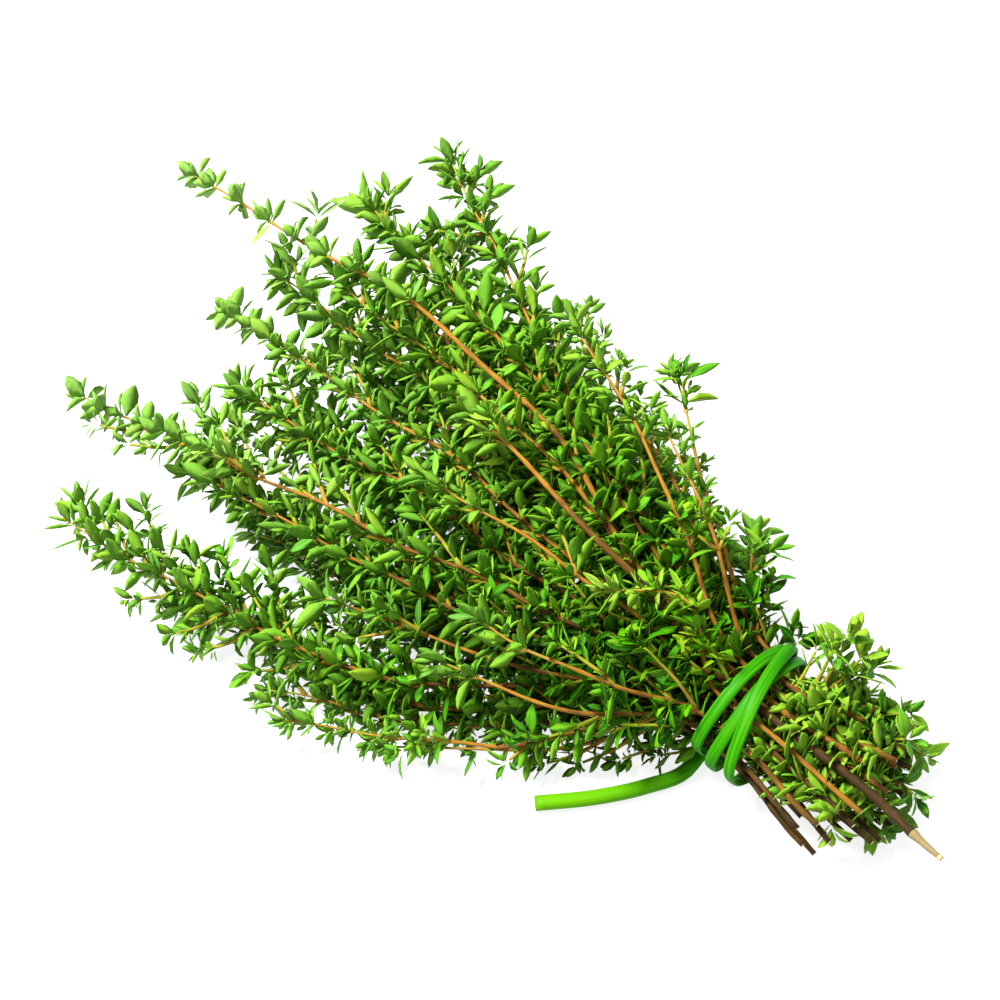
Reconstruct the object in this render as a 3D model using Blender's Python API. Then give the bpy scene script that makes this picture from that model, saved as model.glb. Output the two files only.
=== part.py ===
"""A tied bundle of fresh thyme lying on a table: its cut sprigs and the tie that holds them.

Every sprig is one solid: a square stem, as plants of the mint family have, with pairs of
leaves that grow out of it crosswise. The sprigs run side by side through the tie, fan out
to their leafy tips on the -X side, and flare a little to their cut ends on the +X side.
The bundle lies on z = 0, and the origin is under the middle of it. Lengths are in metres.
"""

import math
from collections import namedtuple

import bmesh
import bpy
import numpy as np
from mathutils import Vector

MM = 0.001

# ---------------------------------------------------------------- driving dimensions

WAIST = Vector((0.0579, 0.0108, 0.0124))  # middle of the bundle inside the tie

STEM_ROOM = 1.7 * MM  # from the tie to the middle of an outermost stem
LAYER_GAP = 2.8 * MM  # between layers of stems in the tie, up the bundle
HELD = 7 * MM  # stems run straight this far to each side of the tie's middle
FLARE = 0.018  # how much wider apart the stems are per millimetre past the tie
RISE = 0.008  # the same upwards
SAG = 2 * MM  # how far the cut ends drop

STEM_HALF_AT_CUT = 0.75 * MM  # half the width of a stem's square section
STEM_HALF_AT_TIP = 0.45 * MM
STEM_STEP = 1.5 * MM  # between the points of a stem's route

NODE_GAP = 10.5 * MM  # between leaf pairs along a stem
NODE_LONG = 1.0 * MM  # how much of the stem a leaf pair takes
BARE_AT_CUT = 7.0 * MM  # leafless stretch above the cut
BARE_AT_TIE = 9.0 * MM  # leafless stretch to each side of the tie's middle

LEAF_LONG = 6.2 * MM
LEAF_WIDE = 2.4 * MM
LEAF_THICK = 0.6 * MM
LEAF_LEAN = 52  # degrees between a leaf and the stem above it
LEAF_AT_TIP = 0.75  # size of the last pair
# A leaf that has no room tries these: its size, and how many degrees more it leans out.
LEAF_TRIES = ((1, 0), (1, -16), (1, 14), (0.8, 0), (0.8, -18), (0.65, -8))
# Balls that fill a leaf: how far out along it, and their radius.
LEAF_BALLS = ((0.3, 1.15 * MM), (0.5, 1.25 * MM), (0.75, 1.0 * MM), (1.0, 0.3 * MM))
STEM_BALL = 1.05 * MM
BAND_BALL = 2.0 * MM
CLEARANCE = 0.35 * MM  # left between a leaf and any other piece
TABLE_GAP = 0.1 * MM  # leaves that reach the table end at this height

# The tie: a flat green band, wound round the stems, with one free end.
BAND_WIDE = 3.2 * MM
BAND_THICK = 1.2 * MM
BAND_STEP = 1.6 * MM  # from one layer of winding to the next
HOLD_Y = 13.6 * MM  # half the width of the space that the tie holds
HOLD_Z = 9.6 * MM  # half its height
TURN_STEP = 10  # degrees between the points of the winding
# The winding's course: degrees from the lowest point towards +Y, millimetres along the
# bundle, and its layer, 0 next to the stems and 1 outside the other turns.
BAND_COURSE = (
    (-38, -5.6, 1), (-12, -5.8, 0.6), (20, -5.5, 0), (90, -4.2, 0), (180, -3.7, 0),
    (270, -3.5, 0), (360, -1.9, 0), (450, -0.3, 0), (540, 0.2, 0), (600, 0.9, 0.1),
    (650, 0.7, 1), (720, -1.4, 1), (810, -4.2, 1), (880, -0.8, 1), (940, 3.4, 1),
    (990, 5.7, 0.6), (1050, 6.2, 0), (1140, 5.6, 0), (1185, 4.4, 0),
)

# The tie's free end lies on the table. Its points from the band to its cut end, in
# millimetres from the spot under the middle of the tie.
TAIL_THICK = 3.1 * MM
TAIL_POINTS = (
    (-4.7, -11.2, 2.8), (-4.6, -14.6, 1.8), (-7.9, -22.6, 1.7),
    (-13.2, -31.0, 1.7), (-21.0, -40.5, 1.7),
)
TAIL_STEP = 6.2 * MM

LEAF_GREEN = (0.075, 0.19, 0.022)
STEM_BROWN = (0.32, 0.13, 0.04)
TIE_GREEN = (0.045, 0.42, 0.008)

# One sprig of a layer: its fan angle from -X towards +Y in degrees, and in millimetres how
# far its tip is from the middle of the tie, the tip's height, how far its stem bows to the
# +Y side and upwards halfway, and how far it goes on past the tie to its cut end.
Sprig = namedtuple("Sprig", "angle reach height bow arch cut")

# Layers from the table up. In each the sprigs go from the -Y side to the +Y side.
LAYERS = {
    "bottom": (
        Sprig(-39, 98, 5, -2, 0, 24),
        Sprig(-12, 92, 5, -3, 0, 30),
        Sprig(10, 88, 5, 2, 0, 27),
        Sprig(27, 76, 5, -1, 0, 22),
    ),
    "low": (
        Sprig(-47, 74, 6, 0, 0, 26),
        Sprig(-30, 120, 8, -9, 0, 21),
        Sprig(-20, 112, 9, -3, 0, 29),
        Sprig(-6, 100, 10, 2, 0, 33),
        Sprig(8, 108, 10, 0, 0, 25),
        Sprig(20, 96, 10, 0, 0, 27),
        Sprig(31, 74, 9, -3, 0, 22),
    ),
    "inner": (
        Sprig(-44, 94, 9, -2, 0, 24),
        Sprig(-27, 146, 16, -11, 0, 20),
        Sprig(-29, 90, 19, -3, 2, 30),
        Sprig(-18, 126, 16, -3, 0, 34),
        Sprig(-9, 112, 17, 0, 1, 27),
        Sprig(1, 122, 17, 2, 1, 31),
        Sprig(11, 120, 17, 2, 1, 24),
        Sprig(22, 99, 17, -1, 1, 27),
        Sprig(35, 68, 15, -4, 1, 22),
    ),
    "outer": (
        Sprig(-37, 64, 20, -4, 2, 22),
        Sprig(-20, 121, 22, -3, 2, 28),
        Sprig(-10, 128, 23, 2, 2, 34),
        Sprig(-5, 139, 29, 3, 2, 26),
        Sprig(0, 136, 33, 4, 2, 33),
        Sprig(7, 118, 31, 2, 2, 30),
        Sprig(14, 118, 32, 0, 2, 30),
        Sprig(23, 90, 32, -1, 2, 22),
        Sprig(48, 38, 20, -5, 2, 25),
    ),
    "high": (
        Sprig(-30, 58, 27, -4, 2, 25),
        Sprig(-18, 152, 27, 0, 3, 30),
        Sprig(-12, 78, 35, 0, 3, 22),
        Sprig(2, 124, 39, 3, 3, 30),
        Sprig(10, 134, 40, 1, 4, 28),
        Sprig(19, 135, 42, -8, 3, 28),
        Sprig(33, 70, 35, -4, 3, 20),
    ),
    "top": (
        Sprig(-17, 36, 31, 8, 5, 30),
        Sprig(-2, 77, 41, 0, 2, 47),
        Sprig(0, 160, 45, 9, 6, 24),
        Sprig(20, 84, 43, -1, 4, 28),
        Sprig(27, 54, 38, -2, 4, 18),
    ),
}


# ---------------------------------------------------------------- where the stems run


def smooth(points, step):
    """Points about a step apart on a smooth curve through the given ones."""
    legs = [b - a for a, b in zip(points, points[1:])]
    slopes = [legs[0].normalized()]
    for before, after in zip(legs, legs[1:]):
        early, late = before.length, after.length
        slopes.append((before / early * late + after / late * early) / (early + late))
    slopes.append(legs[-1].normalized())
    fine = []
    for start, leg, leave, arrive in zip(points, legs, slopes, slopes[1:]):
        count = max(1, round(leg.length / step))
        for i in range(count):
            t = i / count
            turn_out = leave * leg.length * (t - 2 * t**2 + t**3)
            turn_in = arrive * leg.length * (t**3 - t**2)
            fine.append(start + leg * (3 * t**2 - 2 * t**3) + turn_out + turn_in)
    return fine + [points[-1]]


def stem_route(sprig, across, up):
    """A stem's points from its cut end to its tip; across and up are its place in the tie."""
    slot = Vector((0, across, up))
    held = Vector((HELD, 0, 0))
    turn = math.radians(sprig.angle)
    tip = Vector((-math.cos(turn), math.sin(turn), 0)) * sprig.reach * MM
    tip.z = sprig.height * MM - WAIST.z
    half = slot.lerp(tip, 0.5)
    half += Vector((math.sin(turn), math.cos(turn), 0)) * sprig.bow * MM
    half.z = slot.z + 0.6 * (tip.z - slot.z) + sprig.arch * MM
    wider, higher = 1 + FLARE * sprig.cut, 1 + RISE * sprig.cut
    cut = Vector((sprig.cut * MM, slot.y * wider + SAG, slot.z * higher - SAG))
    cut.z = max(cut.z, SAG - WAIST.z)
    return [WAIST + p for p in smooth([cut, slot + held, slot - held, half, tip], STEM_STEP)]


def stem_routes():
    """Every sprig's name and route. The stems fill the tie's oval in level layers."""
    routes = {}
    for level, (layer, sprigs) in enumerate(LAYERS.items()):
        up = (level - (len(LAYERS) - 1) / 2) * LAYER_GAP
        room = (HOLD_Y - STEM_ROOM) * math.sqrt(1 - (up / (HOLD_Z - STEM_ROOM)) ** 2)
        for i, sprig in enumerate(sprigs):
            across = room * (2 * i / (len(sprigs) - 1) - 1)
            routes[f"{layer}_sprig_{i + 1}"] = stem_route(sprig, across, up)
    return routes


class Way:
    """A route that gives its point and directions at any distance along it."""

    def __init__(self, route):
        self.route = route
        self.frames = []
        across = Vector((0, 1, 0))
        for i in range(len(route)):
            ahead = (route[min(i + 1, len(route) - 1)] - route[max(i - 1, 0)]).normalized()
            across = (across - ahead * across.dot(ahead)).normalized()
            self.frames.append((ahead, across, ahead.cross(across)))
        self.so_far = [0.0]
        for a, b in zip(route, route[1:]):
            self.so_far.append(self.so_far[-1] + (b - a).length)
        self.length = self.so_far[-1]
        self.tie = next(d for d, p in zip(self.so_far, route) if p.x <= WAIST.x)

    def at(self, distance):
        """The point, and the directions ahead, across and up, at a distance."""
        i = int(np.searchsorted(self.so_far, distance, side="right")) - 1
        i = min(max(i, 0), len(self.route) - 2)
        t = (distance - self.so_far[i]) / (self.so_far[i + 1] - self.so_far[i])
        turned = [a.lerp(b, t) for a, b in zip(self.frames[i], self.frames[i + 1])]
        return self.route[i].lerp(self.route[i + 1], t), *(v.normalized() for v in turned)

    def half(self, distance):
        """Half the stem's width at a distance."""
        return STEM_HALF_AT_CUT + (STEM_HALF_AT_TIP - STEM_HALF_AT_CUT) * distance / self.length


class Thicket:
    """Balls along everything grown so far, which keep leaves clear of other pieces."""

    def __init__(self):
        self.points = np.zeros((0, 3))
        self.radii = np.zeros(0)
        self.owners = np.zeros(0, object)

    def add(self, owner, points, radii):
        self.points = np.vstack([self.points, points])
        self.radii = np.append(self.radii, radii)
        self.owners = np.append(self.owners, [owner] * len(points))

    def clear(self, owner, points, radii):
        other = self.owners != owner
        apart = np.linalg.norm(self.points[other][:, None] - points[None], axis=2)
        return (apart - self.radii[other][:, None] - radii[None]).min() > CLEARANCE


# ---------------------------------------------------------------- how the shapes grow

CORNERS = ((-1, -1), (1, -1), (1, 1), (-1, 1))


def ring(bm, middle, across, up):
    """Four corners round a middle."""
    return [bm.verts.new(middle + across * x + up * y) for x, y in CORNERS]


def walls(first, second):
    """The four sides between two rings, each by its corners."""
    for k in range(4):
        n = (k + 1) % 4
        yield first[k], first[n], second[n], second[k]


def finish(bm, name, materials):
    """Makes the object of a closed shape."""
    bmesh.ops.recalc_face_normals(bm, faces=bm.faces)
    mesh = bpy.data.meshes.new(name)
    bm.to_mesh(mesh)
    bm.free()
    for material in materials:
        mesh.materials.append(material)
    bpy.context.scene.collection.objects.link(bpy.data.objects.new(name, mesh))


def make_material(name, colour, roughness):
    material = bpy.data.materials.new(name)
    material.use_nodes = True
    shader = material.node_tree.nodes["Principled BSDF"]
    shader.inputs["Base Color"].default_value = (*colour, 1)
    shader.inputs["Roughness"].default_value = roughness
    return material


def find_leaf(name, way, start, outward, size, thicket):
    """The foot, widest place and tip of a leaf that has room, and its size, or None."""
    middle, ahead, _, _ = way.at(start + NODE_LONG / 2)
    for share, more in LEAF_TRIES:
        lean = math.radians(LEAF_LEAN + more)
        long = LEAF_LONG * size * share
        foot = middle + outward * way.half(start)
        along = outward * math.sin(lean) + ahead * math.cos(lean)
        tip = foot + along * long
        tip.z = max(tip.z, TABLE_GAP)
        widest = foot + along * long / 2
        widest.z = max(widest.z, TABLE_GAP + LEAF_WIDE / 2)
        balls = np.array([tuple(foot.lerp(tip, out)) for out, _ in LEAF_BALLS])
        radii = np.array([radius for _, radius in LEAF_BALLS])
        if thicket.clear(name, balls, radii):
            thicket.add(name, balls, radii)
            upper = (ahead - along * ahead.dot(along)).normalized()
            return widest, upper, tip, size * share
    return None


def grow_leaf(bm, root, found):
    """A blade grown out of the four corners of a stem's side, to a point."""
    widest, upper, tip, size = found
    side = (root[1].co - root[0].co).normalized() * LEAF_WIDE * size / 2
    blade = ring(bm, widest, side, upper * LEAF_THICK / 2)
    end = bm.verts.new(tip)
    for wall in walls(root, blade):
        bm.faces.new(wall).material_index = 1
    for k in range(4):
        bm.faces.new((blade[k], blade[(k + 1) % 4], end)).material_index = 1


def grow_sprig(name, way, thicket, materials):
    """A square stem from its cut end to its tip, with crosswise pairs of leaves."""

    def section(distance):
        point, _, across, up = way.at(distance)
        return ring(bm, point, across * way.half(distance), up * way.half(distance))

    bm = bmesh.new()
    last = section(0)
    bm.faces.new(last[::-1])
    pairs = int((way.length - BARE_AT_CUT) / NODE_GAP)
    for pair in range(pairs + 1):
        start = way.length - NODE_LONG - (pairs - pair) * NODE_GAP
        if start < BARE_AT_CUT:
            continue
        lower, upper = section(start), section(start + NODE_LONG)
        for wall in walls(last, lower):
            bm.faces.new(wall)
        _, _, across, up = way.at(start)
        size = LEAF_AT_TIP if pair == pairs else 1
        leafy = abs(start - way.tie) > BARE_AT_TIE
        for k, (root, outward) in enumerate(zip(walls(lower, upper), (-up, across, up, -across))):
            found = None
            if leafy and (k + pair) % 2 == 0:
                found = find_leaf(name, way, start, outward, size, thicket)
            if found:
                grow_leaf(bm, root, found)
            else:
                bm.faces.new(root)
        last = upper
    bm.faces.new(last)
    finish(bm, name, materials)


# ---------------------------------------------------------------- the tie


def band_places():
    """The middle of the winding at each step, and the direction away from the stems."""
    turns = np.arange(BAND_COURSE[0][0], BAND_COURSE[-1][0] + 1, TURN_STEP)
    known = [turn for turn, _, _ in BAND_COURSE]
    along = np.interp(turns, known, [place for _, place, _ in BAND_COURSE])
    layer = np.interp(turns, known, [layer for _, _, layer in BAND_COURSE])
    places = []
    for turn, place, level in zip(np.radians(turns), along, layer):
        lift = BAND_THICK / 2 + level * BAND_STEP
        y, z = HOLD_Y + lift, HOLD_Z + lift
        middle = WAIST + Vector((place * MM, y * math.sin(turn), -z * math.cos(turn)))
        outward = Vector((0, z * math.sin(turn), -y * math.cos(turn))).normalized()
        places.append((middle, outward))
    return places


def make_band(places, materials):
    bm = bmesh.new()
    rings = []
    for i, (middle, outward) in enumerate(places):
        ahead = places[min(i + 1, len(places) - 1)][0] - places[max(i - 1, 0)][0]
        wide = ahead.cross(outward).normalized()
        rings.append(ring(bm, middle, wide * BAND_WIDE / 2, outward * BAND_THICK / 2))
    for first, second in zip(rings, rings[1:]):
        for wall in walls(first, second):
            bm.faces.new(wall)
    bm.faces.new(rings[0][::-1])
    bm.faces.new(rings[-1])
    finish(bm, "tie_band", materials)


def make_tail(points, material):
    curve = bpy.data.curves.new("tie_tail", "CURVE")
    curve.dimensions = "3D"
    curve.bevel_depth = TAIL_THICK / 2
    curve.bevel_resolution = 2
    curve.use_fill_caps = True
    line = curve.splines.new("POLY")
    line.points.add(len(points) - 1)
    for knot, point in zip(line.points, points):
        knot.co = (*point, 1)
    curve.materials.append(material)
    bpy.context.scene.collection.objects.link(bpy.data.objects.new("tie_tail", curve))


def main():
    for thing in list(bpy.data.objects):
        bpy.data.objects.remove(thing)
    stem = make_material("thyme stem", STEM_BROWN, 0.7)
    leaf = make_material("thyme leaf", LEAF_GREEN, 0.5)
    tie = make_material("green tie", TIE_GREEN, 0.35)

    under = Vector((WAIST.x, WAIST.y, 0))
    tail = smooth([under + Vector(p) * MM for p in TAIL_POINTS], TAIL_STEP)
    band = band_places()
    ways = {name: Way(route) for name, route in stem_routes().items()}

    thicket = Thicket()
    thicket.add("tie_tail", [tuple(p) for p in tail], TAIL_THICK / 2 * np.ones(len(tail)))
    thicket.add("tie_band", [tuple(p) for p, _ in band], BAND_BALL * np.ones(len(band)))
    for name, way in ways.items():
        spots = [tuple(way.at(d)[0]) for d in np.arange(0, way.length, MM)]
        thicket.add(name, spots, STEM_BALL * np.ones(len(spots)))

    make_band(band, [tie])
    make_tail(tail, tie)
    for name, way in ways.items():
        grow_sprig(name, way, thicket, [stem, leaf])


main()
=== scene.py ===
"""The looks of the thyme bundle: bark, leaves, side shoots and tie, around its CAD frame.

Each sprig's stem runs where the CAD has it. Here it gets bark, swollen nodes and a cut end,
and in place of the CAD's plain leaves it bears what a thyme sprig does: at every node a
crosswise pair of small leaves with rolled edges, tufts of younger ones between them and the
stem, and leafy side shoots. Lengths are in metres.
"""

import math
from collections import namedtuple

import bpy
import numpy as np
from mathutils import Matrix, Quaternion, Vector


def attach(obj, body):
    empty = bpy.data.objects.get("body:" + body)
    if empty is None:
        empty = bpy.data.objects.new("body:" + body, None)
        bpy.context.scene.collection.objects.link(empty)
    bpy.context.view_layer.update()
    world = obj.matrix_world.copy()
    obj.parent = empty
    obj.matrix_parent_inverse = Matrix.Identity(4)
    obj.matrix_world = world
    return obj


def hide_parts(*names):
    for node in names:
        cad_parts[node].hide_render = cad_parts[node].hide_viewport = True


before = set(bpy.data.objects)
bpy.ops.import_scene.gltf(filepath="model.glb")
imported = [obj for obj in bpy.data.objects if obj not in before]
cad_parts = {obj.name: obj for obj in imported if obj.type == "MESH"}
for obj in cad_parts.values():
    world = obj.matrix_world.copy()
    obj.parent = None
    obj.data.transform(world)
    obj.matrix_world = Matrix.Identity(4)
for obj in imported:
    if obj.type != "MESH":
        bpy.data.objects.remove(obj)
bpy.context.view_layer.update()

MM = 0.001

# ---------------------------------------------------------------- the CAD's own sizes

WAIST = Vector((0.0579, 0.0108, 0.0124))  # middle of the bundle inside the tie

STEM_ROOM = 1.7 * MM  # from the tie to the middle of an outermost stem
LAYER_GAP = 2.8 * MM  # between layers of stems in the tie, up the bundle
HELD = 7 * MM  # stems run straight this far to each side of the tie's middle
FLARE = 0.018  # how much wider apart the stems are per millimetre past the tie
RISE = 0.008  # the same upwards
SAG = 2 * MM  # how far the cut ends drop

STEM_HALF_AT_CUT = 0.75 * MM
STEM_HALF_AT_TIP = 0.45 * MM
STEM_STEP = 1.5 * MM  # between the points of a stem's route

HOLD_Y = 13.6 * MM  # half the width of the space that the tie holds
HOLD_Z = 9.6 * MM  # half its height
# The winding's course: degrees from the lowest point towards +Y, millimetres along the
# bundle, and its layer, 0 next to the stems and 1 outside the other turns.
BAND_COURSE = (
    (-38, -5.6, 1), (-12, -5.8, 0.6), (20, -5.5, 0), (90, -4.2, 0), (180, -3.7, 0),
    (270, -3.5, 0), (360, -1.9, 0), (450, -0.3, 0), (540, 0.2, 0), (600, 0.9, 0.1),
    (650, 0.7, 1), (720, -1.4, 1), (810, -4.2, 1), (880, -0.8, 1), (940, 3.4, 1),
    (990, 5.7, 0.6), (1050, 6.2, 0), (1140, 5.6, 0), (1185, 4.4, 0),
)

# The tie's free end on the table, from the band to its cut end, in millimetres from the
# spot under the middle of the tie.
TAIL_THICK = 3.1 * MM
TAIL_POINTS = (
    (-4.7, -11.2, 2.8), (-4.6, -14.6, 1.8), (-7.9, -22.6, 1.7),
    (-13.2, -31.0, 1.7), (-21.0, -40.5, 1.7),
)

# One sprig of a layer: its fan angle from -X towards +Y in degrees, and in millimetres how
# far its tip is from the middle of the tie, the tip's height, how far its stem bows to the
# +Y side and upwards halfway, and how far it goes on past the tie to its cut end.
Sprig = namedtuple("Sprig", "angle reach height bow arch cut")

# Layers from the table up. In each the sprigs go from the -Y side to the +Y side.
LAYERS = {
    "bottom": (
        Sprig(-39, 98, 5, -2, 0, 24),
        Sprig(-12, 92, 5, -3, 0, 30),
        Sprig(10, 88, 5, 2, 0, 27),
        Sprig(27, 76, 5, -1, 0, 22),
    ),
    "low": (
        Sprig(-47, 74, 6, 0, 0, 26),
        Sprig(-30, 120, 8, -9, 0, 21),
        Sprig(-20, 112, 9, -3, 0, 29),
        Sprig(-6, 100, 10, 2, 0, 33),
        Sprig(8, 108, 10, 0, 0, 25),
        Sprig(20, 96, 10, 0, 0, 27),
        Sprig(31, 74, 9, -3, 0, 22),
    ),
    "inner": (
        Sprig(-44, 94, 9, -2, 0, 24),
        Sprig(-27, 146, 16, -11, 0, 20),
        Sprig(-29, 90, 19, -3, 2, 30),
        Sprig(-18, 126, 16, -3, 0, 34),
        Sprig(-9, 112, 17, 0, 1, 27),
        Sprig(1, 122, 17, 2, 1, 31),
        Sprig(11, 120, 17, 2, 1, 24),
        Sprig(22, 99, 17, -1, 1, 27),
        Sprig(35, 68, 15, -4, 1, 22),
    ),
    "outer": (
        Sprig(-37, 64, 20, -4, 2, 22),
        Sprig(-20, 121, 22, -3, 2, 28),
        Sprig(-10, 128, 23, 2, 2, 34),
        Sprig(-5, 139, 29, 3, 2, 26),
        Sprig(0, 136, 33, 4, 2, 33),
        Sprig(7, 118, 31, 2, 2, 30),
        Sprig(14, 118, 32, 0, 2, 30),
        Sprig(23, 90, 32, -1, 2, 22),
        Sprig(48, 38, 20, -5, 2, 25),
    ),
    "high": (
        Sprig(-30, 58, 27, -4, 2, 25),
        Sprig(-18, 152, 27, 0, 3, 30),
        Sprig(-12, 78, 35, 0, 3, 22),
        Sprig(2, 124, 39, 3, 3, 30),
        Sprig(10, 134, 40, 1, 4, 28),
        Sprig(19, 135, 42, -8, 3, 28),
        Sprig(33, 70, 35, -4, 3, 20),
    ),
    "top": (
        Sprig(-17, 36, 31, 8, 5, 30),
        Sprig(-2, 77, 41, 0, 2, 47),
        Sprig(0, 160, 45, 9, 6, 24),
        Sprig(20, 84, 43, -1, 4, 28),
        Sprig(27, 54, 38, -2, 4, 18),
    ),
}

# ---------------------------------------------------------------- how the sprigs look

# gaps: millimetres between nodes near the tie and near the tip. size: of the leaves, where
# 1 is usual. tufts: how likely a leaf has a tuft of young leaves in its axil. shoots: how
# many side shoots. shoot: their usual length in millimetres. bare: stretches with hardly a
# leaf, as shares of the way from the tie to the tip. fists: beyond this share the nodes bear
# small round clusters. tone: leaf colour, from 0, dark green, to 1, yellow green. Then the
# painted shade: how much darker the leaves and the bark are made near the tie, where the
# bundle is thickest. pale: how much paler the leaves get towards the tip.
# bark: from 0, tan, to 1, dark brown. thick: of the stem, where 1 is the CAD's. peeled:
# millimetres of it without bark, at the cut end.
Look = namedtuple(
    "Look", "gaps size tufts shoots shoot bare fists tone deep pale bark thick peeled",
    defaults=((6, 3.6), 1, 0.97, 17, 13, (), 2, 0.48, 0, 0.3, 0.6, 0.7, 0),
)
# From the top layer down, the leaf tone and the bark get darker: painted shade for the layers lying
# under the others.
LAYER_LOOKS = {
    "bottom": Look(tone=0.14, deep=0.45, bark=1.2, gaps=(5, 3.6), shoots=22, shoot=16),
    "low": Look(tone=0.21, deep=0.5, bark=1.2, gaps=(5, 3.5), shoots=25, shoot=15, size=1.1),
    "inner": Look(tone=0.35, deep=0.5, bark=1, shoots=22, size=1.08),
    "outer": Look(tone=0.47, deep=0.4, bark=0.8, shoots=19, size=1.05),
    "high": Look(tone=0.57, deep=0.2, gaps=(7, 3.8), size=1.04),
    "top": Look(tone=0.62, gaps=(8, 4), shoots=8, shoot=11),
}
SPRIG_LOOKS = {
    "top_sprig_1": dict(
        bare=((-2, 0),), gaps=(5, 3.5), tone=0.9, shoots=2, shoot=6, bark=0, size=0.85
    ),
    "top_sprig_2": dict(
        bare=((-2, 0), (0.42, 0.8)), bark=1.6, thick=1.2, shoots=4, size=1.1, peeled=7
    ),
    "top_sprig_3": dict(
        bare=((0.1, 0.3), (0.42, 0.66)), gaps=(9, 7), shoots=3, bark=0.05, thick=0.9, pale=0.9,
        fists=0.66,
    ),
    "top_sprig_4": dict(bare=((0.12, 0.34), (0.42, 0.62)), bark=0.2, shoots=5, shoot=6, size=0.9),
    "top_sprig_5": dict(bare=((0.1, 0.45), (0.6, 0.72)), bark=0.3, shoots=3, shoot=4, size=0.72),
    "bottom_sprig_1": dict(bare=((-2, 0),), shoot=8, size=0.8),
    "bottom_sprig_2": dict(bare=((-2, 0),)),
    "high_sprig_1": dict(bare=((-2, 0), (0.3, 0.75)), bark=0.4, shoots=4, tone=0.5),
    "high_sprig_2": dict(bare=((0.56, 0.7),), bark=0.7, pale=0.8, fists=0.8, shoots=17, shoot=14),
    "high_sprig_3": dict(bare=((0.28, 0.48), (0.58, 0.8)), bark=0.5, shoots=5),
    "high_sprig_5": dict(shoots=22, shoot=10, pale=0.35, size=1.16, gaps=(6, 3.4)),
    "high_sprig_6": dict(shoots=19, shoot=10, tone=0.4, size=1.1),
    "high_sprig_7": dict(bare=((0.42, 0.6),), shoots=3, shoot=2, size=0.66, tufts=0.5),
    "outer_sprig_1": dict(bare=((-2, 0), (0.4, 0.8)), bark=0.6, shoots=4),
    "outer_sprig_2": dict(bare=((-2, 0),)),
    "outer_sprig_3": dict(bare=((-2, -0.2),), shoot=15, pale=0.4),
    "outer_sprig_4": dict(tone=0.6, pale=0.6, bark=0.1, fists=0.86, size=0.86),
    "outer_sprig_5": dict(tone=0.55, pale=0.55, shoots=18, size=1.1),
    "outer_sprig_8": dict(shoots=14, shoot=4, size=0.74),
    "outer_sprig_9": dict(shoots=8, shoot=7),
    "inner_sprig_1": dict(
        bare=((-2, 0.35), (0.5, 0.6)), bark=0.4, tone=0.5, shoots=9, shoot=4, size=0.85
    ),
    "inner_sprig_2": dict(
        bare=((-2, 0),), bark=0.5, tone=0.5, shoots=18, shoot=12, gaps=(6, 3.4), size=1.1
    ),
    "inner_sprig_3": dict(bare=((-2, -0.22), (0.4, 0.7)), shoots=9),
    "inner_sprig_4": dict(bare=((-2, -0.2),)),
    "inner_sprig_8": dict(shoots=15, shoot=5, size=0.8),
    "inner_sprig_9": dict(shoots=2, shoot=2, size=0.55, tufts=0.5),
    "low_sprig_1": dict(
        bare=((-2, 0), (0.08, 0.3)), gaps=(8, 7), shoots=0, tufts=0.7, bark=0.2, tone=0.5,
        size=0.75,
    ),
    "low_sprig_2": dict(bare=((-2, 0),), bark=0.7, tone=0.42, shoots=20, shoot=13, size=1.1),
    "low_sprig_3": dict(shoot=13, size=1),
    "low_sprig_6": dict(shoot=7),
    "low_sprig_7": dict(shoots=12, shoot=4, size=0.72),
    "bottom_sprig_4": dict(shoots=12, shoot=4, size=0.72),
}
# The same on the cut ends' side of the tie: low down and higher up.
BEHIND_LOW = Look(gaps=(4.5, 4.5), size=0.66, tufts=0.7, shoots=0)
BEHIND = Look(gaps=(4.5, 4.5), size=1.08, tufts=0.85, shoots=2, shoot=5)

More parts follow.
